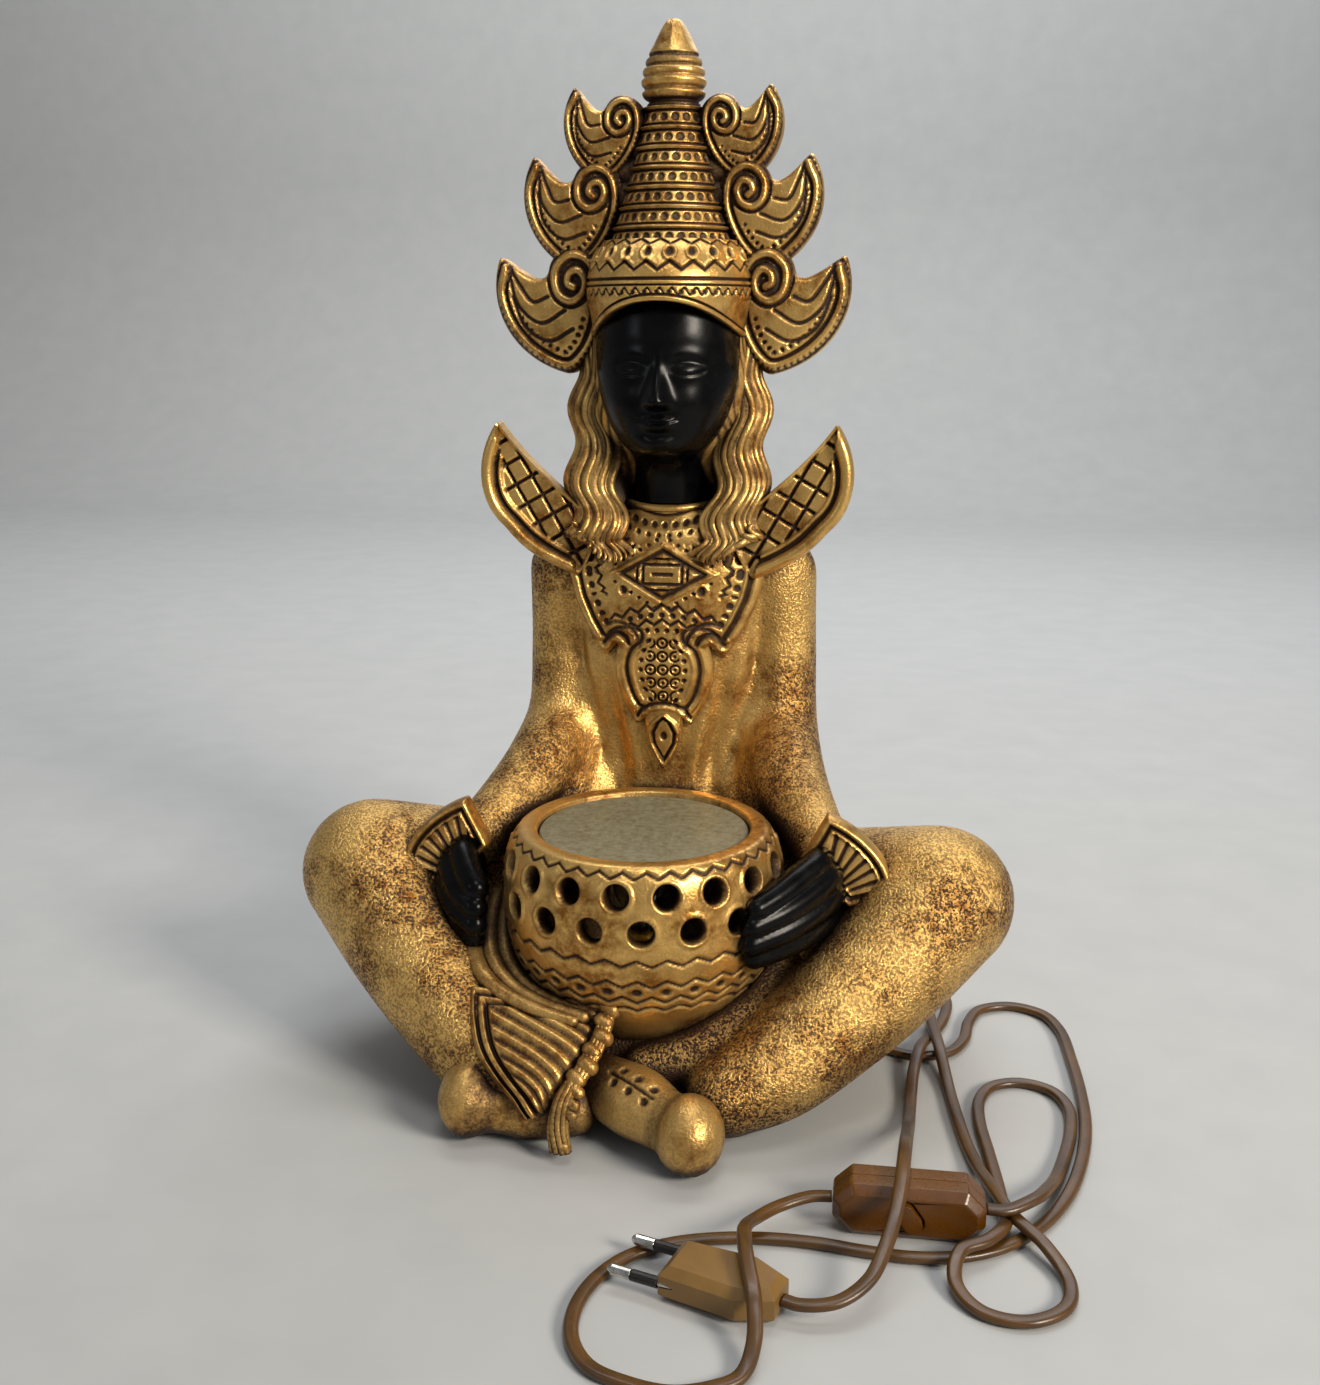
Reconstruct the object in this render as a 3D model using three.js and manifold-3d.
// Figure lamp: a crowned, long-haired figure sits cross-legged with a pierced bowl in its lap.
// A frosted disc closes the bowl over a small bulb. Millimetres, +Z up, the figure looks along -Y.
import * as THREE from "three";
import { mergeVertices } from "three/addons/utils/BufferGeometryUtils.js";
import Module from "manifold-3d";

const wasm = await Module();
wasm.setup();

// Fits
const fitGap = 0.3;
const slideGap = 0.6;
const smoothSides = 18;
const bowlSides = 24;
const limbSides = 11;

// Lap: the hollow seat between the legs, open below
const lapHeight = 86;
const lapHalfWidth = 80;
const lapFront = 128;
const lapBack = 36;
const lapWall = 8;
const coverThickness = 2.2;
const coverRecess = 1;

// Torso and head
const torsoHeight = 152;
const waistHalfWidth = 31;
const shoulderHalfWidth = 54;
const torsoHalfDepth = 31;
const neckRadius = 16.5;
const neckHeight = 23;
const headHeight = 73;
const headHalfWidth = 29.5;
const headHalfDepth = 35;
const headForward = 13;

// Crown
const headbandDrop = 14;
const headbandHeight = 30;
const headbandWall = 7;
const spireHeight = 55;
const spireTiers = 6;
const spireTopRadius = 12;
const spireHalfWidth = 31;
const tierGroove = 1.2;
const finialHeight = 36;
const finialRadius = 14.2;

// Crown leaves: reach is from the spiral's middle to the outer edge, across and up place that middle
const leafThickness = 11;
const leafBevel = 2.5;
const leafFront = 14;
const crownLeaves = [
  { level: "low", reach: 36, across: 42, up: 0, turn: 0 },
  { level: "middle", reach: 31.5, across: 33.5, up: 37.5, turn: 12 },
  { level: "top", reach: 25.3, across: 22, up: 67, turn: 17 },
];

// Hair, collar and breast plate
const hairThickness = 7;
const lockRadius = 10;
const wingThickness = 9;
const wingFront = 29;
const wingReach = 28;
const wingRise = 40;
const plateThickness = 4.2;
const plateHeight = 119;

// Arms and hands
const armRadius = 17;
const wristRadius = 12.5;
const elbowHeight = 136;
const handHeight = 84;
const fingerRadius = 4.6;
const fingerPitch = 8.6;
const cuffReach = 27;
const cuffThickness = 13;

// Legs and feet
const kneeAcross = 123.5;
const kneeForward = 73;
const kneeHeight = 80;
const kneeRadius = 31.5;
const thighRadius = 34;
const ankleRadius = 17;
const slipperRadius = 16.8;
const slipperLength = 44;
const slipperForward = 165;

// Sash and tassel
const sashHalfWidth = 22;
const sashThickness = 10;
const tasselRadius = 5;

// Bowl
const bowlForward = 86;
const bowlFootHeight = 26;
const bowlHeight = 86;
const bowlBellyHeight = 58;
const bowlRadius = 59.5;
const bowlFootRadius = 22;
const bowlShoulderRadius = 50;
const bowlWall = 6;
const holeRadius = 5;
const holesPerRow = 18;
const holeRowHeights = [75, 61];

// Diffuser disc
const discRadius = 44;
const discThickness = 4;
const discRecess = 2;
const discLedge = 4;

// Lampholder, its fixing and the bulb
const nippleRadius = 5;
const nippleBore = 3.4;
const nippleLength = 23;
const nutRadius = 9;
const nutHeight = 6;
const holderRadius = 13.5;
const holderHeight = 30;
const holderBase = 10.5;
const bulbCapRadius = 7;
const bulbCapHeight = 21;
const bulbRadius = 13.5;
const bulbGlassHeight = 39;
const bulbGlassWall = 0.8;
const filamentRadius = 0.35;

// Flat twin cord and its relief
const cordWidth = 5.2;
const cordThickness = 3.2;
const reliefAcross = 18;
const reliefHeight = 9;
const reliefLength = 24;
const reliefRadius = 6;
const reliefFlange = 8;
const reliefTip = 4.2;
const reliefInside = 3;
const reliefSeat = 2;

// Inline switch, lying on its edge
const switchLength = 54;
const switchHeight = 20;
const switchDepth = 19;
const switchChamfer = 6.5;
const switchWall = 2;
const switchAcross = 112.5;
const switchForward = 190.5;
const rockerLength = 12;
const rockerWidth = 6.6;
const rockerProud = 2;
const rockerTilt = -55;
const switchScrewRadius = 1.6;
const switchScrewPitch = 34;

// Mains plug
const plugLength = 40;
const plugWidth = 24;
const plugThickness = 13;
const plugHeading = 163;
const plugAcross = 52;
const plugForward = 241.5;
const pinSpacing = 18.6;
const pinRadius = 2;
const pinLength = 19;
const pinShankRadius = 1.2;
const pinSeat = 8;
const sleeveLength = 10;

// Heights and places that follow from the sizes above
const torsoTop = lapHeight + torsoHeight;
const chinHeight = torsoTop + neckHeight;
const headTop = chinHeight + headHeight;
const headbandBottom = headTop - headbandDrop;
const headbandTop = headbandBottom + headbandHeight;
const spireTop = headbandTop + spireHeight;
const bowlMiddle = -bowlForward;
const bowlFloor = bowlFootHeight + bowlWall;
const bowlRim = bowlFootHeight + bowlHeight;
const discTop = bowlRim - discRecess;
const discBottom = discTop - discThickness;

// Surface finishes
const antiqueGold = () => new THREE.MeshStandardMaterial({ color: 0xb8862d, roughness: 0.35, metalness: 0.9 });
const blackLacquer = () => new THREE.MeshStandardMaterial({ color: 0x101012, roughness: 0.18, metalness: 0 });
const frostedGlass = () => new THREE.MeshStandardMaterial({ color: 0xa8a68c, roughness: 0.5, metalness: 0 });
const clearGlass = () => new THREE.MeshStandardMaterial({ color: 0xe6ecec, roughness: 0.08, metalness: 0 });
const whitePorcelain = () => new THREE.MeshStandardMaterial({ color: 0xe8e4da, roughness: 0.25, metalness: 0 });
const brass = () => new THREE.MeshStandardMaterial({ color: 0xc9a24a, roughness: 0.3, metalness: 1 });
const platedSteel = () => new THREE.MeshStandardMaterial({ color: 0xc8c8c6, roughness: 0.22, metalness: 1 });
const brownVinyl = () => new THREE.MeshStandardMaterial({ color: 0x6b4420, roughness: 0.4, metalness: 0 });
const amberPlastic = () => new THREE.MeshStandardMaterial({ color: 0x9a6212, roughness: 0.3, metalness: 0 });
const tanPlastic = () => new THREE.MeshStandardMaterial({ color: 0xb8935a, roughness: 0.4, metalness: 0 });
const blackPlastic = () => new THREE.MeshStandardMaterial({ color: 0x1c1714, roughness: 0.45, metalness: 0 });
const fibreBoard = () => new THREE.MeshStandardMaterial({ color: 0x4a3524, roughness: 0.9, metalness: 0 });

// A closed geometry as a solid that can be joined and cut
function solidOf(geometry) {
  const bare = geometry.clone();
  bare.deleteAttribute("normal");
  bare.deleteAttribute("uv");
  const merged = mergeVertices(bare, 1e-4);
  const vertProperties = new Float32Array(merged.attributes.position.array);
  const triVerts = new Uint32Array(merged.index.array);
  return new wasm.Manifold(new wasm.Mesh({ numProp: 3, vertProperties, triVerts }));
}

// A solid back as a geometry
function geometryOf(solid) {
  const mesh = solid.getMesh();
  const geometry = new THREE.BufferGeometry();
  geometry.setAttribute("position", new THREE.BufferAttribute(mesh.vertProperties, 3));
  geometry.setIndex(new THREE.BufferAttribute(mesh.triVerts, 1));
  return geometry;
}

// The guest with each host's space taken away, keeping its main body without stray slivers
function fitted(guest, hosts) {
  const cut = hosts.reduce((rest, host) => rest.subtract(host), guest);
  return cut.decompose().reduce((main, body) => (body.volume() > main.volume() ? body : main));
}

// A closed body through rings of equally many points, its two ends closed by fans
function loft(rings) {
  const sides = rings[0].length;
  const middleOf = (ring) => ring.reduce((sum, point) => sum.add(point), new THREE.Vector3()).divideScalar(sides);
  const points = [...rings.flat(), middleOf(rings[0]), middleOf(rings.at(-1))];
  const startMiddle = rings.length * sides;
  const lastRing = (rings.length - 1) * sides;
  const index = [];
  for (let side = 0; side < sides; side += 1) {
    const next = (side + 1) % sides;
    for (let ring = 0; ring + 1 < rings.length; ring += 1) {
      const low = ring * sides;
      const high = low + sides;
      index.push(low + side, low + next, high + next, low + side, high + next, high + side);
    }
    index.push(startMiddle, next, side, startMiddle + 1, lastRing + side, lastRing + next);
  }
  const geometry = new THREE.BufferGeometry();
  geometry.setAttribute("position", new THREE.Float32BufferAttribute(points.flatMap((point) => point.toArray()), 3));
  geometry.setIndex(index);
  return geometry;
}

// One level ring: half an ellipse in front and another behind, about a middle at y = middle
function levelRing(height, halfWidth, front, back, middle = 0, sides = smoothSides) {
  return Array.from({ length: sides }, (_, side) => {
    const angle = (2 * Math.PI * side) / sides;
    const depth = Math.sin(angle) < 0 ? front : back;
    return new THREE.Vector3(halfWidth * Math.cos(angle), middle + depth * Math.sin(angle), height);
  });
}

// A round limb through stations [x, y, z, radius], with rounded ends
function limb(stations, grow = 0, sides = limbSides, stepsPerSpan = 2) {
  const path = new THREE.CatmullRomCurve3(stations.map(([x, y, z]) => new THREE.Vector3(x, y, z)));
  const steps = stepsPerSpan * (stations.length - 1);
  const frames = path.computeFrenetFrames(steps, false);
  const ringAt = (middle, step, radius) =>
    Array.from({ length: sides }, (_, side) => {
      const angle = (2 * Math.PI * side) / sides;
      return middle
        .clone()
        .addScaledVector(frames.normals[step], radius * Math.cos(angle))
        .addScaledVector(frames.binormals[step], radius * Math.sin(angle));
    });
  const radiusAt = (share) => {
    const place = share * (stations.length - 1);
    const span = Math.min(Math.floor(place), stations.length - 2);
    const ease = THREE.MathUtils.smoothstep(place - span, 0, 1);
    return grow + THREE.MathUtils.lerp(stations[span][3], stations[span + 1][3], ease);
  };
  const endRings = (step, outward) => {
    const radius = radiusAt(step / steps);
    const middle = path.getPoint(step / steps);
    return [40, 75].map((degrees) => {
      const angle = THREE.MathUtils.degToRad(degrees);
      const shifted = middle.clone().addScaledVector(frames.tangents[step], outward * radius * Math.sin(angle));
      return ringAt(shifted, step, radius * Math.cos(angle));
    });
  };
  const rings = [];
  for (let step = 0; step <= steps; step += 1) {
    rings.push(ringAt(path.getPoint(step / steps), step, radiusAt(step / steps)));
  }
  return solidOf(loft([...endRings(0, -1).reverse(), ...rings, ...endRings(steps, 1)]));
}

// A turned body about a vertical axis from [radius, height] pairs
function turned(profile, segments = smoothSides) {
  return new THREE.LatheGeometry(profile.map(([radius, height]) => new THREE.Vector2(radius, height)), segments)
    .rotateX(Math.PI / 2);
}

// An upright slab from an outline in X and Z, its front face at y = -front
function uprightSlab(outline, front, thickness, bevel, grow = 0) {
  const slab = new THREE.ExtrudeGeometry(outline, {
    depth: thickness - 2 * bevel + 2 * grow,
    bevelEnabled: bevel > 0,
    bevelThickness: bevel,
    bevelSize: bevel,
    bevelOffset: grow - bevel,
    bevelSegments: 1,
    curveSegments: 5,
  });
  return slab.rotateX(Math.PI / 2).translate(0, thickness - front - bevel + grow, 0);
}

// A flat twin cord along a curve: two rounded cores side by side, lying on the broad side
function flatCord(path, steps) {
  const halfWidth = cordWidth / 2;
  const halfThickness = cordThickness / 2;
  const shape = new THREE.Shape();
  const flat = halfThickness / 2;
  const straight = halfWidth - halfThickness;
  shape.moveTo(halfThickness, -straight);
  shape.lineTo(halfThickness, straight);
  shape.lineTo(flat, halfWidth);
  shape.lineTo(-flat, halfWidth);
  shape.lineTo(-halfThickness, straight);
  shape.lineTo(-halfThickness, -straight);
  shape.lineTo(-flat, -halfWidth);
  shape.lineTo(flat, -halfWidth);
  return new THREE.ExtrudeGeometry(shape, { steps, bevelEnabled: false, extrudePath: path });
}

// Lap rings as [height, width, front, back]: the last three are added to the lap's own sizes
const lapRings = [
  [0, 0, 0, 0],
  [15, 4, 4, 3],
  [40, 0, -6, 3],
  [60, -9, -36, 1],
  [76, -22, -70, -3],
  [lapHeight, -36, -94, -8],
];

function lapShape(grow = 0) {
  return solidOf(loft(lapRings.map(([height, width, front, back], level) => {
    const lift = level === 0 ? -Math.abs(grow) : Math.sign(height) * grow;
    return levelRing(
      height + lift, lapHalfWidth + width + grow, lapFront + front + grow, lapBack + back + grow,
    );
  })));
}

// The relief points backwards out of the lap's wall, with a flange outside the wall
function reliefOutside(grow) {
  return [
    [reliefRadius - 0.5 + grow, -lapWall - reliefInside - grow],
    [reliefRadius - 0.5 + grow, -reliefInside - grow],
    [reliefFlange + grow, -reliefInside - grow],
    [reliefFlange + grow, 1 + grow],
    [reliefRadius + grow, 1 + grow],
    [reliefTip + grow, reliefLength + grow],
  ];
}

function placedRelief(profile) {
  return turned(profile, 12).rotateX(-Math.PI / 2).translate(reliefAcross, lapBack + reliefSeat, reliefHeight);
}

function reliefSpace() {
  const outside = reliefOutside(fitGap);
  return solidOf(placedRelief([[0, outside[0][1]], ...outside, [0, outside.at(-1)[1]]]));
}

function cordRelief() {
  const outside = reliefOutside(0);
  return placedRelief([
    ...outside, [nippleBore, reliefLength], [nippleBore, outside[0][1]], outside[0],
  ]);
}

function torsoShape(grow = 0) {
  const waist = waistHalfWidth;
  const shoulder = shoulderHalfWidth;
  const deep = torsoHalfDepth;
  const rings = [
    [0, waist + 9, deep - 1],
    [34, waist, deep - 6],
    [59, waist + 3, deep - 4],
    [torsoHeight - 68, shoulder - 12, deep - 1],
    [torsoHeight - 43, shoulder - 4, deep + 1],
    [torsoHeight - 26, shoulder, deep - 1],
    [torsoHeight - 13, shoulder - 8, deep - 5],
    [torsoHeight - 5, neckRadius + 10, neckRadius + 3],
    [torsoHeight, neckRadius + 2, neckRadius + 1],
  ];
  return solidOf(loft(rings.map(([height, halfWidth, depth], level) => {
    const lift = level === 0 ? fitGap - grow : grow;
    return levelRing(lapHeight + height + lift, halfWidth + grow, depth + grow, depth + grow);
  })));
}

function headShape(grow = 0) {
  const forward = headForward;
  const wide = headHalfWidth;
  const deep = headHalfDepth;
  const rings = [
    [torsoTop + fitGap - grow, neckRadius, neckRadius, 4],
    [torsoTop + neckHeight * 0.5, neckRadius - 0.5, neckRadius - 0.5, 7],
    [chinHeight - 3, neckRadius, neckRadius + 2, forward - 3],
    [chinHeight, neckRadius + 1, deep - 8, forward + 4],
    [chinHeight + headHeight * 0.1, wide - 7, deep - 4, forward + 4],
    [chinHeight + headHeight * 0.27, wide - 2, deep - 1.5, forward + 2],
    [chinHeight + headHeight * 0.45, wide, deep, forward],
    [chinHeight + headHeight * 0.63, wide, deep, forward - 1],
    [chinHeight + headHeight * 0.82, wide - 1.5, deep - 2, forward - 2],
    [headTop + grow, wide - 6, deep - 7, forward - 2],
  ];
  const skull = loft(rings.map(([height, halfWidth, depth, ahead]) =>
    levelRing(height, halfWidth + grow, depth + grow, depth + grow, -ahead)));
  const brow = chinHeight + headHeight * 0.42;
  const nose = limb([
    [0, -forward - deep + 4, brow, 3.2],
    [0, -forward - deep, chinHeight + headHeight * 0.22, 4],
  ], grow, 8, 2);
  return solidOf(skull).add(nose);
}

function headbandShape(grow = 0) {
  const wide = headHalfWidth + headbandWall;
  const deep = headHalfDepth + headbandWall;
  const rings = [
    [0, wide - 3, deep - 3, 10],
    [6, wide, deep, 10],
    [headbandHeight - 12, wide, deep - 0.5, 9],
    [headbandHeight - 5, wide - 2.5, deep - 3, 7],
    [headbandHeight, wide - 5, deep - 6, 5],
  ];
  return solidOf(loft(rings.map(([height, halfWidth, depth, ahead], level) => {
    const lift = level === 0 ? -grow : grow;
    return levelRing(headbandBottom + height + lift, halfWidth + grow, depth + grow, depth + grow, -ahead);
  })));
}

function spireShape(grow = 0) {
  const tierHeight = (spireHeight - fitGap) / spireTiers;
  const rings = [];
  for (let tier = 0; tier < spireTiers; tier += 1) {
    const base = headbandTop + fitGap + tier * tierHeight;
    const shareOf = (height) => (height - headbandTop) / spireHeight;
    [0.08, 0.35, 0.8].forEach((place, spot) => {
      const height = base + place * tierHeight;
      const taper = THREE.MathUtils.lerp(spireHalfWidth, spireTopRadius, shareOf(height) ** 0.92);
      const radius = taper - (spot === 0 ? tierGroove : 0) + grow;
      rings.push(levelRing(height, radius, radius * 1.08, radius * 1.08, -5 * (1 - shareOf(height))));
    });
  }
  const lowest = levelRing(headbandTop + fitGap - grow, spireHalfWidth - 1 + grow, spireHalfWidth + grow,
    spireHalfWidth + grow, -5);
  const highest = levelRing(spireTop - fitGap + grow, spireTopRadius + grow, spireTopRadius + grow,
    spireTopRadius + grow);
  return solidOf(loft([lowest, ...rings, highest]));
}

function crownFinial() {
  const neck = finialRadius - 2.2;
  const rings = [
    [0, 0], [neck, 0], [neck, 3], [neck - 1, 4.2], [finialRadius, 8], [finialRadius, 11], [neck, 13], [neck + 0.8, 16],
    [neck - 1, 18], [neck - 0.6, 21], [neck - 3, 23], [neck - 2.8, 26], [neck - 6, 30.5], [3, 33.8], [0, finialHeight],
  ];
  return turned(rings, 14).translate(0, 0, spireTop);
}

// One crown leaf in its own unit: a spiral eye at the middle, a raised tip outside and a tail below
function crownLeafShape(leaf, side, grow = 0) {
  const outline = new THREE.Shape();
  const turn = THREE.MathUtils.degToRad(leaf.turn);
  const place = (x, z) => {
    const across = leaf.across + leaf.reach * (x * Math.cos(turn) - z * Math.sin(turn));
    const height = headbandBottom + 12 + leaf.up + leaf.reach * (x * Math.sin(turn) + z * Math.cos(turn));
    return [side * across, height];
  };
  outline.moveTo(...place(0.93, 0.34));
  outline.bezierCurveTo(...place(1.16, -0.25), ...place(0.8, -0.9), ...place(0.06, -1.06));
  outline.bezierCurveTo(...place(-0.22, -0.95), ...place(-0.45, -0.5), ...place(-0.42, -0.05));
  outline.bezierCurveTo(...place(-0.42, 0.55), ...place(0.3, 0.6), ...place(0.33, 0.12));
  outline.bezierCurveTo(...place(0.45, -0.03), ...place(0.72, 0.22), ...place(0.93, 0.34));
  const setBack = leafFront - leaf.up * 0.08;
  return solidOf(uprightSlab(outline, setBack, leafThickness, leafBevel, grow));
}

function hairBackShape(grow = 0) {
  const wide = headHalfWidth + hairThickness;
  const rings = [
    [torsoTop - 26, wide + 2, 8, 8, -30],
    [torsoTop - 6, wide + 4, 14, 12, -22],
    [torsoTop + 14, wide + 4, 22, 22, -8],
    [chinHeight + 10, wide + 2, 24, 32, 2],
    [chinHeight + headHeight * 0.5, wide, 20, headHalfDepth + hairThickness, 8],
    [headbandBottom - fitGap, wide - 3, 20, headHalfDepth + hairThickness - 4, 8],
  ];
  return solidOf(loft(rings.map(([height, halfWidth, front, back, ahead], level) => {
    const lift = level === 0 ? -grow : 0;
    return levelRing(height + lift, halfWidth + grow, front + grow, back + grow, -ahead);
  })));
}

function hairLockShape(side, grow = 0) {
  const wide = headHalfWidth + lockRadius - 4;
  return limb([
    [side * (wide - 3), -12, headbandBottom - 9, lockRadius - 2],
    [side * (wide + 1), -15, chinHeight + headHeight * 0.35, lockRadius],
    [side * (wide + 1), -20, chinHeight + 2, lockRadius],
    [side * (wide - 2), -25, torsoTop - 4, lockRadius - 1],
    [side * (wide - 7), -32, torsoTop - 20, lockRadius - 4],
  ], grow, 10, 2);
}

function collarWingShape(side, grow = 0) {
  const outline = new THREE.Shape();
  const root = shoulderHalfWidth - 8;
  const rootHeight = torsoTop - 27;
  const place = (x, z) => [side * (root + wingReach * x), rootHeight + wingRise * z];
  outline.moveTo(...place(1, 1.58));
  outline.bezierCurveTo(...place(1.36, 1.25), ...place(1.42, 0.72), ...place(0.9, 0.42));
  outline.bezierCurveTo(...place(0.6, 0.16), ...place(0.3, 0.04), ...place(-0.25, -0.12));
  outline.lineTo(...place(-0.62, 0.45));
  outline.bezierCurveTo(...place(-0.1, 0.8), ...place(0.6, 1.15), ...place(1, 1.58));
  return solidOf(uprightSlab(outline, wingFront, wingThickness, 2.5, grow));
}

// The breast plate hangs over the chest: its outline is carried back onto the torso's own surface
function breastPlateShape(grow = 0) {
  const top = torsoTop;
  const halfOutline = [
    [26, 0], [shoulderHalfWidth - 14, -12], [shoulderHalfWidth - 8, -26], [shoulderHalfWidth - 13, -42],
    [shoulderHalfWidth - 20, -56], [24, -70], [19, -88], [9, -94], [8.5, -100],
  ];
  const outline = new THREE.Shape();
  outline.moveTo(0, top + 1);
  halfOutline.forEach(([x, z]) => outline.lineTo(x + grow, top + z));
  outline.lineTo(0, top - plateHeight - grow);
  [...halfOutline].reverse().forEach(([x, z]) => outline.lineTo(-x - grow, top + z));
  const curtain = solidOf(uprightSlab(outline, torsoHalfDepth * 2, torsoHalfDepth * 2 - 1, 0));
  return curtain.intersect(torsoShape(fitGap + plateThickness + grow));
}

function armShape(side, grow = 0) {
  const across = shoulderHalfWidth - 6;
  return limb([
    [side * across, -2, torsoTop - 32, armRadius + 1],
    [side * (across + 2), 0, torsoTop - 66, armRadius - 0.5],
    [side * (across + 3), -4, elbowHeight + 2, armRadius],
    [side * (across + 8), -28, elbowHeight - 16, armRadius],
    [side * (across + 19), -56, elbowHeight - 29, armRadius - 3],
    [side * (across + 28), -76, handHeight + 14, wristRadius],
  ], grow);
}

function cuffShape(side, grow = 0) {
  const wrist = bowlRadius + 20;
  const outline = new THREE.Shape();
  const reach = cuffReach;
  outline.moveTo(side * (wrist - reach * 0.75), handHeight + reach * 0.5);
  outline.lineTo(side * (wrist + reach * 0.14), handHeight + reach * 1.02);
  outline.quadraticCurveTo(
    side * (wrist + reach * 0.62), handHeight + reach * 0.8,
    side * (wrist + reach * 0.92), handHeight + reach * 0.12,
  );
  outline.lineTo(side * (wrist + reach * 0.3), handHeight - reach * 0.2);
  outline.lineTo(side * (wrist - reach * 0.4), handHeight);
  return solidOf(uprightSlab(outline, bowlForward - 2, cuffThickness, 1.5, grow));
}

// A hand laid on the bowl: a palm beside it and four fingers round it
function handShape(side) {
  const palmAcross = bowlRadius + 12;
  const palm = limb([
    [side * (palmAcross + 5), bowlMiddle + 2, handHeight + 5, 10],
    [side * palmAcross, bowlMiddle - 10, handHeight + 1, 13],
    [side * (palmAcross - 6), bowlMiddle - 21, handHeight - 1, 11],
  ], 0, 8, 2);
  const fingers = [0, 1, 2, 3].map((finger) => {
    const height = handHeight + (1.35 - finger) * fingerPitch;
    const around = bowlRadius + fingerRadius + fitGap;
    const station = (degrees, drop) => {
      const angle = THREE.MathUtils.degToRad(degrees);
      const x = side * around * Math.sin(angle);
      return [x, bowlMiddle - around * Math.cos(angle), height - drop, fingerRadius];
    };
    return limb([station(84, 0), station(66, 1.5), station(49 + 2 * finger, 4)], 0, 6, 1);
  });
  return fingers.reduce((hand, finger) => hand.add(finger), palm);
}

function legShape(side, grow = 0) {
  const knee = [side * kneeAcross, -kneeForward, kneeHeight, kneeRadius];
  const thigh = limb([[side * 38, 4, 50, thighRadius], [side * 80, -34, 62, thighRadius - 1], knee], grow);
  const ankle = [side * 42, -141, ankleRadius + 3, ankleRadius];
  const shin = limb([
    knee,
    [side * 103, -94, 59, kneeRadius - 4],
    [side * 80, -114, 41, kneeRadius - 7],
    [side * 59, -131, 27, ankleRadius + 4],
    ankle,
  ], grow);
  return thigh.add(shin);
}

function rightSlipperShape(grow = 0) {
  const ball = slipperRadius;
  const step = slipperLength / 2;
  return limb([
    [30 - step * 1.64, -slipperForward + step * 1.1, 19, ball - 4],
    [30 - step * 0.82, -slipperForward + step * 0.5, 17, ball - 2.2],
    [30, -slipperForward, ball - 1, ball],
  ], grow);
}

function leftSlipperShape(grow = 0) {
  const ball = slipperRadius - 1.5;
  const step = slipperLength / 2;
  return limb([
    [-60 + step * 1.8, -slipperForward + 18, 12.5, ball - 3],
    [-60 + step * 0.9, -slipperForward + 14, 13.5, ball - 2],
    [-60, -slipperForward + 13, ball - 1, ball],
  ], grow);
}

// Pleated sash: a thick cloth band that falls over the ankles to the table
function sashShape(grow = 0) {
  const stations = [
    [-34, -118, 52, 0, 20], [-33, -136, 44, 0, 35], [-31, -150, 31, -3, 55], [-29, -157, 16, -5, 75],
    [-28, -159, 2, -6, 85],
  ];
  const half = sashThickness / 2 + grow;
  const rings = stations.map(([x, y, z, narrower, degrees]) => {
    const tilt = THREE.MathUtils.degToRad(degrees);
    const width = sashHalfWidth + narrower + grow;
    return Array.from({ length: 12 }, (_, side) => {
      const angle = (2 * Math.PI * side) / 12;
      const across = width * Math.sign(Math.cos(angle)) * Math.abs(Math.cos(angle)) ** 0.6;
      const out = half * Math.sign(Math.sin(angle)) * Math.abs(Math.sin(angle)) ** 0.6;
      return new THREE.Vector3(x + across, y - out * Math.sin(tilt), z + out * Math.cos(tilt));
    });
  });
  return solidOf(loft(rings));
}

function tasselShape(grow = 0) {
  const thick = tasselRadius;
  return limb([
    [-6, -132, 45, thick], [-8, -147, 37, thick + 0.6], [-13, -160, 22, thick], [-18, -165, 6, thick - 0.5],
  ], grow, 10, 2);
}

// The bowl's outside as [radius, height above its foot], fuller above the belly than below it
function bowlProfile(inset) {
  const points = [];
  for (let degrees = -90; degrees <= 70; degrees += 22.5) {
    const angle = THREE.MathUtils.degToRad(degrees);
    const lower = degrees < 0;
    const start = lower ? bowlFootRadius : bowlShoulderRadius;
    const rise = lower ? bowlBellyHeight - inset : bowlHeight - bowlBellyHeight - inset;
    points.push([start - inset + (bowlRadius - start) * Math.cos(angle), bowlBellyHeight + rise * Math.sin(angle)]);
  }
  return points;
}

function bowlBlank(grow = 0) {
  const profile = bowlProfile(-grow);
  const top = bowlHeight + grow;
  const closed = [[0, -grow], ...profile, [bowlShoulderRadius + grow, top], [0, top]];
  return solidOf(turned(closed, bowlSides).translate(0, bowlMiddle, bowlFootHeight));
}

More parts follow.
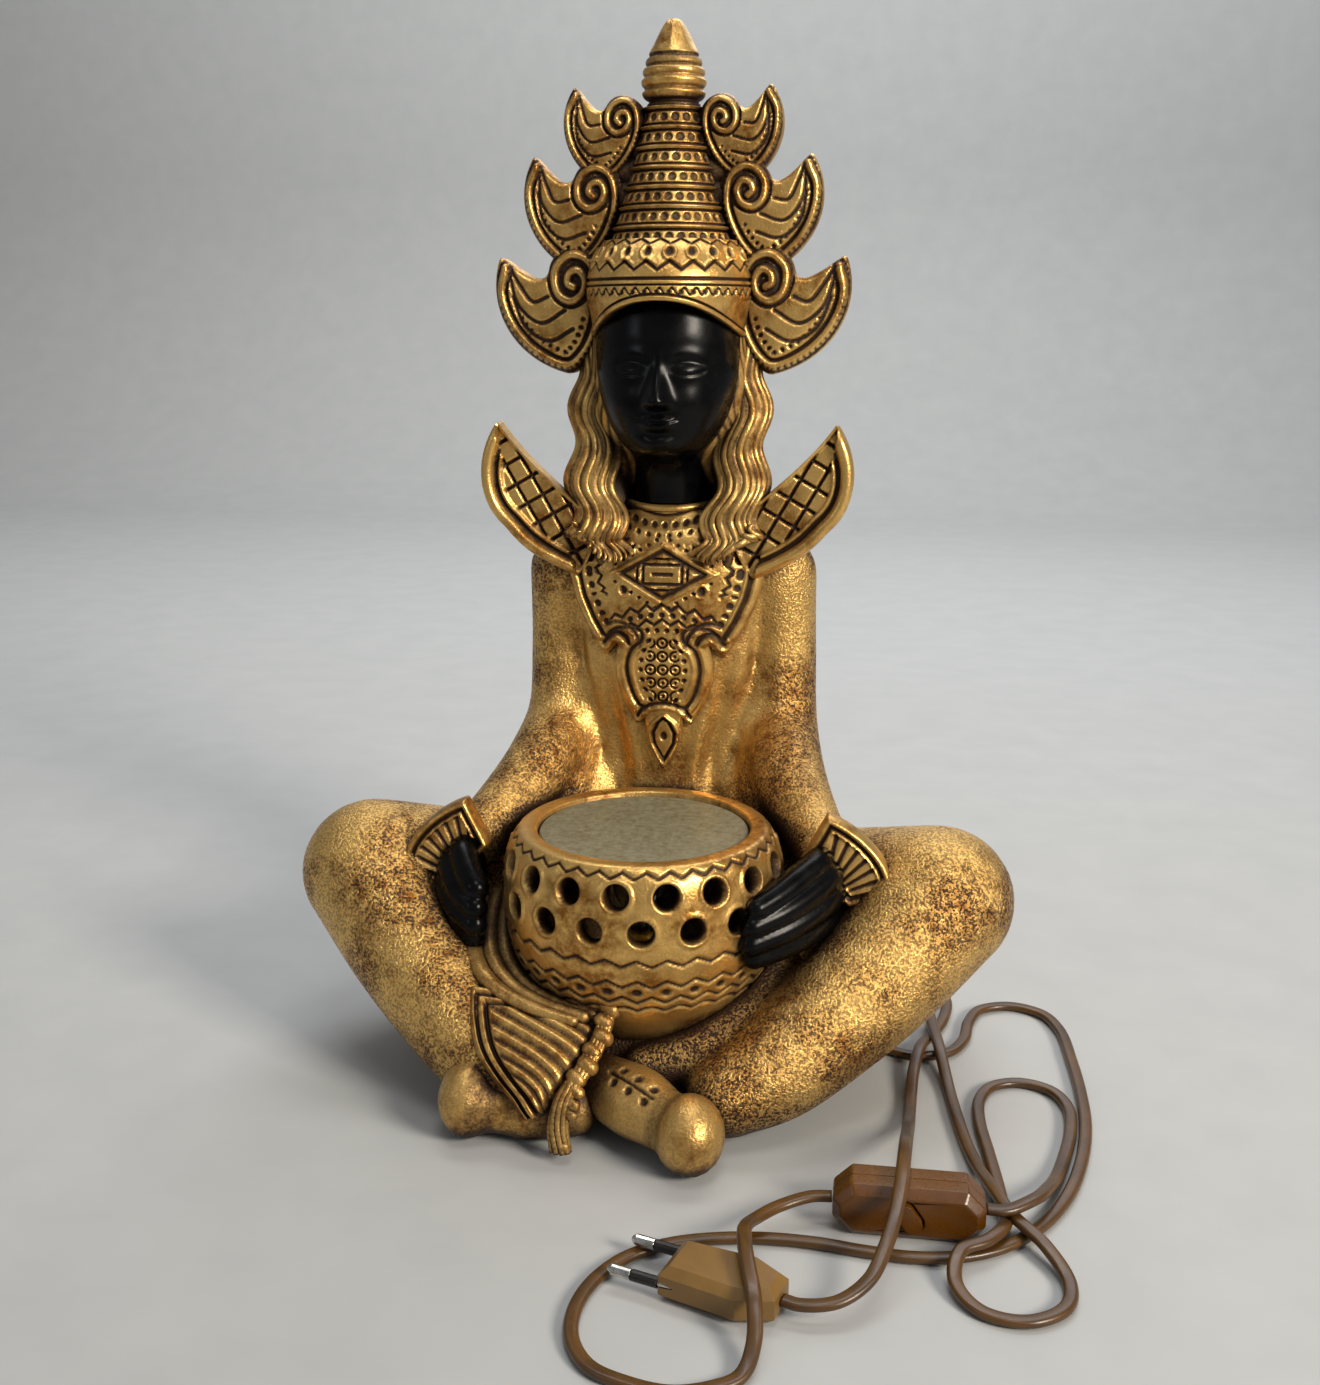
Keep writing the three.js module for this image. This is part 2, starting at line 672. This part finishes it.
function bowl() {
  const seat = discRadius + slideGap;
  const ledgeHeight = bowlHeight - discRecess - discThickness - fitGap;
  const outside = bowlProfile(0);
  const inside = bowlProfile(bowlWall).filter(([, height]) => height < ledgeHeight - bowlWall);
  const profile = [
    [nippleRadius + fitGap, 0],
    ...outside,
    [bowlShoulderRadius - 2, bowlHeight],
    [seat + 0.8, bowlHeight],
    [seat, bowlHeight - 1],
    [seat, ledgeHeight],
    [discRadius - discLedge, ledgeHeight],
    [discRadius - discLedge, ledgeHeight - 3],
    ...inside.reverse(),
    [nippleRadius + fitGap, bowlWall],
    [nippleRadius + fitGap, 0],
  ];
  const shell = solidOf(turned(profile, bowlSides).translate(0, bowlMiddle, bowlFootHeight));
  const drills = holeRowHeights.flatMap((height, row) =>
    Array.from({ length: holesPerRow }, (_, hole) => {
      const turn = (2 * Math.PI * (hole + row / 2)) / holesPerRow + THREE.MathUtils.degToRad(8);
      const reach = bowlWall * 4;
      const drill = new THREE.CylinderGeometry(holeRadius, holeRadius, reach, 6).rotateZ(Math.PI / 2)
        .translate(bowlRadius - bowlWall / 2, 0, 0)
        .rotateZ(turn)
        .translate(0, bowlMiddle, bowlFootHeight + height);
      return solidOf(drill);
    }));
  return fitted(shell, drills);
}

function diffuserDisc() {
  const edge = 0.6;
  return turned([
    [0, 0], [discRadius - edge, 0], [discRadius, edge], [discRadius, discThickness - edge],
    [discRadius - edge, discThickness], [0, discThickness],
  ], 32).translate(0, bowlMiddle, discBottom);
}

// Lampholder parts share the bowl's axis; heights are from the bowl's floor
function lampholderBody() {
  const socket = bulbCapRadius + slideGap;
  return turned([
    [nippleRadius + fitGap, fitGap], [holderRadius, fitGap], [holderRadius, holderHeight - 4],
    [holderRadius - 1.5, holderHeight], [socket, holderHeight], [socket, holderBase],
    [nippleRadius + fitGap, holderBase], [nippleRadius + fitGap, fitGap],
  ], 16);
}

function lampholderContact() {
  const radius = bulbCapRadius - 0.4;
  return turned([
    [0, 0], [radius, 0], [radius, 1], [0, 1],
  ], 12).translate(0, 0, holderBase + fitGap);
}

function threadedNipple() {
  const top = holderBase - 2;
  const bottom = top - nippleLength;
  return turned([
    [nippleBore, bottom], [nippleRadius, bottom], [nippleRadius, top], [nippleBore, top], [nippleBore, bottom],
  ], 12);
}

function fixingNut() {
  const top = -bowlWall - fitGap;
  const bottom = top - nutHeight;
  const bore = nippleRadius + 2 * fitGap;
  const outline = new THREE.Shape(new THREE.EllipseCurve(0, 0, nutRadius, nutRadius).getPoints(6).slice(0, 6));
  outline.holes.push(new THREE.Path(new THREE.EllipseCurve(0, 0, bore, bore).getPoints(12).slice(0, 12)));
  return new THREE.ExtrudeGeometry(outline, { depth: nutHeight, bevelEnabled: false }).translate(0, 0, bottom);
}

const capBottom = holderBase + 1.5 + 3 * fitGap;

function bulbTipContact() {
  return turned([[0, 0], [2.4, 0], [2.4, 0.5], [0, 0.5]], 12).translate(0, 0, capBottom - 0.5 - fitGap);
}

function bulbCap() {
  const wall = 0.5;
  return turned([
    [0, 0], [bulbCapRadius - 1.5, 0], [bulbCapRadius, 2], [bulbCapRadius, bulbCapHeight],
    [bulbCapRadius - wall, bulbCapHeight], [bulbCapRadius - wall, 2.6], [bulbCapRadius - 2, 1.2], [0, 1.2],
  ], 14).translate(0, 0, capBottom);
}

function bulbGlass() {
  const neck = bulbCapRadius - 0.5 - fitGap;
  const wall = bulbGlassWall;
  const profileOf = (inset) => [
    [neck - inset, bulbCapHeight - 7],
    [neck - inset, bulbCapHeight + 2],
    [bulbRadius - 4 - inset, bulbCapHeight + 9],
    [bulbRadius - inset, bulbCapHeight + 17],
    [bulbRadius - 0.8 - inset, bulbCapHeight + 23],
    [bulbRadius - 5 - inset, bulbCapHeight + 29],
  ];
  const top = bulbCapHeight - 7 + bulbGlassHeight;
  return turned([
    ...profileOf(0), [0, top], [0, top - wall * 1.6], ...profileOf(wall).reverse(), profileOf(0)[0],
  ], 14).translate(0, 0, capBottom);
}

function bulbFilament() {
  const foot = capBottom + 1.2 + fitGap;
  const arch = capBottom + bulbCapHeight + 12;
  const path = new THREE.CatmullRomCurve3([
    [-2, foot], [-2, foot + 18], [-4.5, arch], [0, arch + 5], [4.5, arch], [2, foot + 18], [2, foot],
  ].map(([x, z]) => new THREE.Vector3(x, 0, z)));
  const section = new THREE.Shape(new THREE.EllipseCurve(0, 0, filamentRadius, filamentRadius).getPoints(4).slice(0, 4));
  return new THREE.ExtrudeGeometry(section, { steps: 14, bevelEnabled: false, extrudePath: path });
}

const reliefOuterEnd = lapBack + reliefSeat + reliefLength;

function innerLead() {
  const path = new THREE.CatmullRomCurve3([
    [0, bowlMiddle, bowlFloor + holderBase - 1], [0, bowlMiddle, bowlFootHeight], [0, bowlMiddle, bowlFootHeight - 10],
    [1, bowlMiddle + 3, reliefHeight + 2], [4, bowlMiddle + 12, reliefHeight],
    [8, bowlMiddle + 30, reliefHeight], [14, bowlMiddle + 70, reliefHeight],
    [reliefAcross, lapBack - lapWall - 10, reliefHeight], [reliefAcross, lapBack - lapWall, reliefHeight],
    [reliefAcross, reliefOuterEnd, reliefHeight],
  ].map((point) => new THREE.Vector3(...point)));
  return flatCord(path, 18);
}

function baseCover() {
  const inset = lapWall + fitGap;
  const ringAt = (height) => levelRing(height, lapHalfWidth - inset, lapFront - inset, lapBack - inset);
  return loft([ringAt(coverRecess), ringAt(coverRecess + coverThickness)]);
}

// Switch parts in their own frame: X along the cord, -Y out of the rocker's face, Z across
function switchFaceOutline(inset) {
  const half = switchLength / 2 - inset;
  const tall = switchHeight / 2 - inset;
  const chamfer = switchChamfer - inset * 0.4;
  const outline = new THREE.Shape();
  outline.moveTo(half, tall - chamfer);
  outline.lineTo(half - chamfer, tall);
  outline.lineTo(chamfer - half, tall);
  outline.lineTo(-half, tall - chamfer);
  outline.lineTo(-half, chamfer - tall);
  outline.lineTo(chamfer - half, -tall);
  outline.lineTo(half - chamfer, -tall);
  outline.lineTo(half, chamfer - tall);
  return outline;
}

function rockerShape(grow = 0) {
  const half = rockerLength / 2 - rockerWidth / 2;
  const round = rockerWidth / 2 + grow;
  const outline = new THREE.Shape();
  outline.absarc(half, 0, round, -Math.PI / 2, Math.PI / 2);
  outline.absarc(-half, 0, round, Math.PI / 2, 1.5 * Math.PI);
  const depth = 6;
  return solidOf(uprightSlab(outline, switchDepth / 2 + rockerProud + grow, depth + grow, 0)
    .rotateY(THREE.MathUtils.degToRad(-rockerTilt)));
}

function switchScrewShape(place, grow = 0) {
  const length = switchDepth - 6 + grow;
  const rod = new THREE.CylinderGeometry(switchScrewRadius + grow, switchScrewRadius + grow, length, 10);
  return solidOf(rod.translate(0, switchDepth / 2 - length / 2 - 1 + grow, 0).translate(place, 0, 0));
}

const screwPlaces = [-switchScrewPitch / 2, switchScrewPitch / 2];

function switchShell(facing) {
  const bevel = 3;
  const outer = solidOf(uprightSlab(switchFaceOutline(0), switchDepth / 2, switchDepth, bevel));
  const inner = solidOf(uprightSlab(switchFaceOutline(switchWall + 1), switchDepth / 2 - switchWall,
    switchDepth - 2 * switchWall, 0));
  const hollow = outer.subtract(inner);
  const half = hollow.trimByPlane([0, facing, 0], fitGap / 2);
  const cuts = screwPlaces.map((place) => switchScrewShape(place, fitGap));
  return fitted(half, facing < 0 ? [...cuts, rockerShape(slideGap)] : cuts);
}

function switchTerminal() {
  return new THREE.BoxGeometry(7, 7, 6);
}

// Plug parts in their own frame: the pins point along +X
function plugBody() {
  const half = plugLength / 2;
  const wide = plugWidth / 2;
  const outline = new THREE.Shape();
  outline.moveTo(half, wide - 1.5);
  outline.lineTo(-half + 12, wide);
  outline.lineTo(-half, wide - 5.5);
  outline.lineTo(-half, 5.5 - wide);
  outline.lineTo(-half + 12, -wide);
  outline.lineTo(half, 1.5 - wide);
  const bevel = 3;
  const block = new THREE.ExtrudeGeometry(outline, {
    depth: plugThickness - 2 * bevel, bevelThickness: bevel, bevelSize: bevel, bevelOffset: -bevel, bevelSegments: 1,
  }).translate(0, 0, bevel - plugThickness / 2);
  const sockets = [-1, 1].map((side) => {
    const radius = pinShankRadius + fitGap;
    const drill = new THREE.CylinderGeometry(radius, radius, pinSeat * 2, 12).rotateZ(Math.PI / 2);
    return solidOf(drill.translate(half, (side * pinSpacing) / 2, 0));
  });
  return fitted(solidOf(block), sockets);
}

function alongPlug(geometry, side) {
  return geometry.rotateY(Math.PI / 2).translate(plugLength / 2, (side * pinSpacing) / 2, 0);
}

function plugPin(side) {
  const step = sleeveLength + fitGap;
  return alongPlug(turned([
    [0, fitGap - pinSeat], [pinShankRadius, fitGap - pinSeat], [pinShankRadius, step], [pinRadius, step],
    [pinRadius, pinLength - 1.5], [pinRadius - 1, pinLength], [0, pinLength],
  ], 12), side);
}

function pinSleeve(side) {
  const bore = pinShankRadius + fitGap;
  return alongPlug(turned([
    [bore, fitGap], [pinRadius, fitGap], [pinRadius, sleeveLength], [bore, sleeveLength], [bore, fitGap],
  ], 12), side);
}

// Names one mesh and puts it in its group
function addPiece(group, name, shape, finish) {
  const geometry = shape.isBufferGeometry ? shape : geometryOf(shape);
  const mesh = new THREE.Mesh(geometry, finish());
  mesh.name = name;
  group.add(mesh);
  return mesh;
}

const sides = [["left", -1], ["right", 1]];
const table = [0, 0, 1];

function addBody(figure) {
  const bowlSpace = bowlBlank(fitGap);
  const hollow = lapShape(-lapWall);
  const lap = fitted(lapShape(), [hollow, bowlSpace, reliefSpace()]);
  addPiece(figure, "lap_casting", lap, antiqueGold);
  addPiece(figure, "base_cover", baseCover(), fibreBoard);
  addPiece(figure, "torso_casting", fitted(torsoShape(), [bowlSpace]), antiqueGold);
  const lapSpace = lapShape(fitGap);
  sides.forEach(([name, side]) => {
    addPiece(figure, `leg_${name}`, fitted(legShape(side), [lapSpace, bowlSpace]).trimByPlane(table, 0), antiqueGold);
  });
  const legSpaces = sides.map(([, side]) => legShape(side, fitGap));
  const rightSlipper = fitted(rightSlipperShape(), [lapSpace, bowlSpace, ...legSpaces]).trimByPlane(table, 0);
  addPiece(figure, "slipper_right", rightSlipper, antiqueGold);
  const slipperSpace = rightSlipperShape(fitGap);
  const leftSlipper = fitted(leftSlipperShape(), [lapSpace, bowlSpace, slipperSpace, ...legSpaces]);
  addPiece(figure, "slipper_left", leftSlipper.trimByPlane(table, 0), antiqueGold);
  const feetSpace = [slipperSpace, leftSlipperShape(fitGap)];
  const tassel = fitted(tasselShape(), [lapSpace, bowlSpace, ...legSpaces, ...feetSpace]);
  addPiece(figure, "sash_tassel", tassel, antiqueGold);
  const sash = fitted(sashShape(), [lapSpace, bowlSpace, tasselShape(fitGap), ...legSpaces, ...feetSpace]);
  addPiece(figure, "sash_pleats", sash.trimByPlane(table, fitGap), antiqueGold);
}

function addHeadAndCrown(figure) {
  const headSpace = headShape(fitGap);
  addPiece(figure, "head_and_neck", headShape(), blackLacquer);
  addPiece(figure, "crown_headband", fitted(headbandShape(), [headSpace]), antiqueGold);
  addPiece(figure, "crown_spire", spireShape(), antiqueGold);
  addPiece(figure, "crown_finial", crownFinial(), antiqueGold);
  const crownSpaces = [headSpace, headbandShape(fitGap), spireShape(fitGap)];
  sides.forEach(([name, side]) => {
    crownLeaves.forEach((leaf, level) => {
      const lower = level > 0 ? [crownLeafShape(crownLeaves[level - 1], side, fitGap)] : [];
      const piece = fitted(crownLeafShape(leaf, side), [...crownSpaces, ...lower]);
      addPiece(figure, `crown_leaf_${leaf.level}_${name}`, piece, antiqueGold);
    });
  });
  const lowLeaves = sides.map(([, side]) => crownLeafShape(crownLeaves[0], side, fitGap));
  const torsoSpace = torsoShape(fitGap);
  const nearHair = [headSpace, headbandShape(fitGap), torsoSpace, ...lowLeaves];
  addPiece(figure, "hair_back", fitted(hairBackShape(), nearHair), antiqueGold);
  sides.forEach(([name, side]) => {
    const lock = fitted(hairLockShape(side), [...nearHair, hairBackShape(fitGap)]);
    addPiece(figure, `hair_lock_${name}`, lock, antiqueGold);
  });
}

function addCollarAndArms(figure) {
  const torsoSpace = torsoShape(fitGap);
  const bowlSpace = bowlBlank(fitGap);
  const hairSpaces = [hairBackShape(fitGap), ...sides.map(([, side]) => hairLockShape(side, fitGap))];
  const lowLeaves = sides.map(([, side]) => crownLeafShape(crownLeaves[0], side, fitGap));
  sides.forEach(([name, side]) => {
    const wing = fitted(collarWingShape(side), [torsoSpace, ...hairSpaces, ...lowLeaves]);
    addPiece(figure, `collar_wing_${name}`, wing, antiqueGold);
  });
  const wingSpaces = sides.map(([, side]) => collarWingShape(side, fitGap));
  const plate = fitted(breastPlateShape(), [torsoSpace, headShape(fitGap), ...hairSpaces, ...wingSpaces]);
  addPiece(figure, "breast_plate", plate, antiqueGold);
  const plateSpace = breastPlateShape(fitGap);
  sides.forEach(([name, side]) => {
    const legSpace = legShape(side, fitGap);
    const cuff = fitted(cuffShape(side), [bowlSpace, legSpace]);
    addPiece(figure, `cuff_${name}`, cuff, antiqueGold);
    const armHosts = [
      torsoSpace, plateSpace, bowlSpace, lapShape(fitGap), legSpace, cuffShape(side, fitGap), ...wingSpaces,
      ...hairSpaces,
    ];
    addPiece(figure, `arm_${name}`, fitted(armShape(side), armHosts), antiqueGold);
    const hand = fitted(handShape(side), [bowlSpace, legSpace, cuffShape(side, fitGap), armShape(side, fitGap)]);
    addPiece(figure, `hand_${name}`, hand, blackLacquer);
  });
}

function addLampParts(figure) {
  addPiece(figure, "bowl", bowl(), antiqueGold);
  addPiece(figure, "diffuser_disc", diffuserDisc(), frostedGlass);
  const holder = new THREE.Group();
  holder.position.set(0, bowlMiddle, bowlFloor);
  figure.add(holder);
  addPiece(holder, "lampholder_body", lampholderBody(), whitePorcelain);
  addPiece(holder, "lampholder_contact", lampholderContact(), brass);
  addPiece(holder, "threaded_nipple", threadedNipple(), brass);
  addPiece(holder, "fixing_nut", fixingNut(), brass);
  addPiece(holder, "bulb_tip_contact", bulbTipContact(), platedSteel);
  addPiece(holder, "bulb_cap", bulbCap(), brass);
  addPiece(holder, "bulb_glass", bulbGlass(), clearGlass);
  addPiece(holder, "bulb_filament", bulbFilament(), platedSteel);
  addPiece(figure, "inner_lead", innerLead(), brownVinyl);
  addPiece(figure, "cord_relief", cordRelief(), brownVinyl);
}

function addSwitch(lamp) {
  const body = new THREE.Group();
  body.position.set(switchAcross, -switchForward, switchHeight / 2);
  lamp.add(body);
  addPiece(body, "switch_front_shell", switchShell(-1), amberPlastic);
  addPiece(body, "switch_back_shell", switchShell(1), amberPlastic);
  addPiece(body, "switch_rocker", rockerShape(), amberPlastic);
  screwPlaces.forEach((place, spot) => {
    addPiece(body, `switch_screw_${sides[spot][0]}`, switchScrewShape(place), platedSteel);
  });
  sides.forEach(([name, side]) => {
    const terminal = addPiece(body, `switch_terminal_${name}`, switchTerminal(), brass);
    terminal.position.set(side * (switchScrewPitch / 2 - 6.5), 2, 0);
  });
}

function addPlug(lamp) {
  const body = new THREE.Group();
  body.position.set(plugAcross, -plugForward, plugThickness / 2);
  body.rotation.z = THREE.MathUtils.degToRad(plugHeading);
  lamp.add(body);
  addPiece(body, "plug_body", plugBody(), tanPlastic);
  sides.forEach(([name, side]) => {
    addPiece(body, `plug_pin_${name}`, plugPin(side), platedSteel);
    addPiece(body, `plug_sleeve_${name}`, pinSleeve(side), blackPlastic);
  });
}

// The free cord, from the relief to the switch: behind the seat, out past the right knee, then in loops
const lampCordPoints = [
  [25, 86, 3], [38, 96, 2.2], [58, 98, 2.2], [82, 88, 2.2], [103, 65, 2.5], [116, 34, 6.4],
  [121, 2, 6.4], [124, -30, 6.4], [127.5, -62, 6.4], [130.5, -88, 2.4], [133, -112, 2.2], [136, -134, 2.2],
  [139.5, -153, 3.5], [143.5, -171, 6.6], [149.5, -188, 6.8], [159.5, -203, 5.5], [166, -218, 2.2],
  [163, -232.5, 2.2], [150, -241, 2.2], [136, -238, 2.2], [128, -226, 3.5], [130, -212.5, 7],
  [139.5, -205, 7], [146, -194, 6], [147, -178, 2.3], [146, -160, 2.2], [144, -138, 2.2],
  [142, -116, 2.2], [143, -98, 2.2], [149, -85.5, 2.2], [161, -80.5, 2.2], [173, -85.5, 2.2],
  [178.5, -98, 2.2], [177.5, -118, 2.2], [173, -138, 2.2], [168, -156, 3.8], [163, -171, 8], [157.5, -182, 10.4],
];

// The free cord, from the switch to the plug
const plugCordPoints = [
  [78, -191, 9.6], [67, -197, 8.6], [59.5, -207, 9.5], [56.5, -220, 14], [57.5, -233, 16.4],
  [60, -246, 16.4], [63, -259, 14], [64, -270, 6.5], [61, -281, 2.4], [52, -289, 2.2], [40, -293, 2.2],
  [26, -290.5, 2.2], [14, -283, 2.2], [6, -271, 2.2], [4, -256, 2.2], [7.5, -240, 2.2], [16.5, -225.5, 2.2],
  [30, -216, 2.2], [46, -210.5, 2.2], [62, -208, 2.2], [80, -208, 2.2], [98, -210.5, 2.2], [115, -211.5, 2.2],
  [131, -208.5, 2.2], [146, -200.5, 2.2], [159, -187, 2.2], [170.5, -167, 2.2], [179, -141, 2.2],
  [184, -113, 2.2], [185.5, -85, 2.2], [185, -58, 2.2], [182.5, -27, 2.2], [176, -12, 2.2], [162, -6, 2.2],
  [148, -12, 2.2], [142, -26, 2.2], [139, -44, 2.2], [131.5, -57.5, 2.2], [118, -62.5, 2.2],
  [104, -57, 2.2], [97, -43, 2.2], [95, -24, 2.2], [95, -4, 2.2], [100.5, 9, 2.2], [114, 14.5, 2.2],
  [127.5, 9, 2.2], [132.5, -4, 2.2], [131, -22, 2.2], [125.5, -41, 2.5], [119.5, -61, 6.4], [116, -82, 4.5],
  [114.5, -104, 2.6], [113.5, -126, 5], [112.5, -146, 12], [111.5, -165, 19.5], [110.5, -183, 22.7],
  [109.5, -199, 22.7], [107.5, -213, 19], [104, -226, 14], [99, -238, 10], [89, -247, 7.2],
];

function addCords(lamp) {
  const curveOf = (points) => new THREE.CatmullRomCurve3(points, false, "centripetal");
  const vectors = (points) => points.map((point) => new THREE.Vector3(...point));
  const exit = reliefOuterEnd + fitGap;
  const switchEnd = (side) => switchAcross + side * (switchLength / 2 + fitGap);
  const heading = THREE.MathUtils.degToRad(plugHeading);
  const plugBack = plugLength / 2 + fitGap;
  const lampEnds = [
    new THREE.Vector3(reliefAcross, exit, reliefHeight),
    new THREE.Vector3(reliefAcross + 0.2, exit + 7, reliefHeight),
    new THREE.Vector3(reliefAcross + 2, exit + 14, reliefHeight - 2),
  ];
  const lampCord = curveOf([
    ...lampEnds,
    ...vectors(lampCordPoints),
    new THREE.Vector3(switchEnd(1) + 7, 0.3 - switchForward, switchHeight / 2),
    new THREE.Vector3(switchEnd(1), -switchForward, switchHeight / 2),
  ]);
  const backOfPlug = new THREE.Vector3(
    plugAcross - plugBack * Math.cos(heading), -plugForward - plugBack * Math.sin(heading), plugThickness / 2,
  );
  const nearPlug = backOfPlug.clone().add(new THREE.Vector3(-6 * Math.cos(heading), -6 * Math.sin(heading), 0));
  const plugCord = curveOf([
    new THREE.Vector3(switchEnd(-1), -switchForward, switchHeight / 2),
    ...vectors(plugCordPoints),
    nearPlug,
    backOfPlug,
  ]);
  addPiece(lamp, "cord_lamp_side", flatCord(lampCord, 32), brownVinyl);
  addPiece(lamp, "cord_plug_side", flatCord(plugCord, 50), brownVinyl);
}

// The lamp is moved as one so that the origin is on the table under the middle of the figure
function makeLamp() {
  const lamp = new THREE.Group();
  addBody(lamp);
  addHeadAndCrown(lamp);
  addCollarAndArms(lamp);
  addLampParts(lamp);
  const footprint = new THREE.Box3().setFromObject(lamp);
  lamp.position.x = -(footprint.min.x + footprint.max.x) / 2;
  lamp.position.y = -(footprint.min.y + footprint.max.y) / 2;
  addSwitch(lamp);
  addPlug(lamp);
  addCords(lamp);
  return lamp;
}

const lamp = makeLamp();

export default lamp;
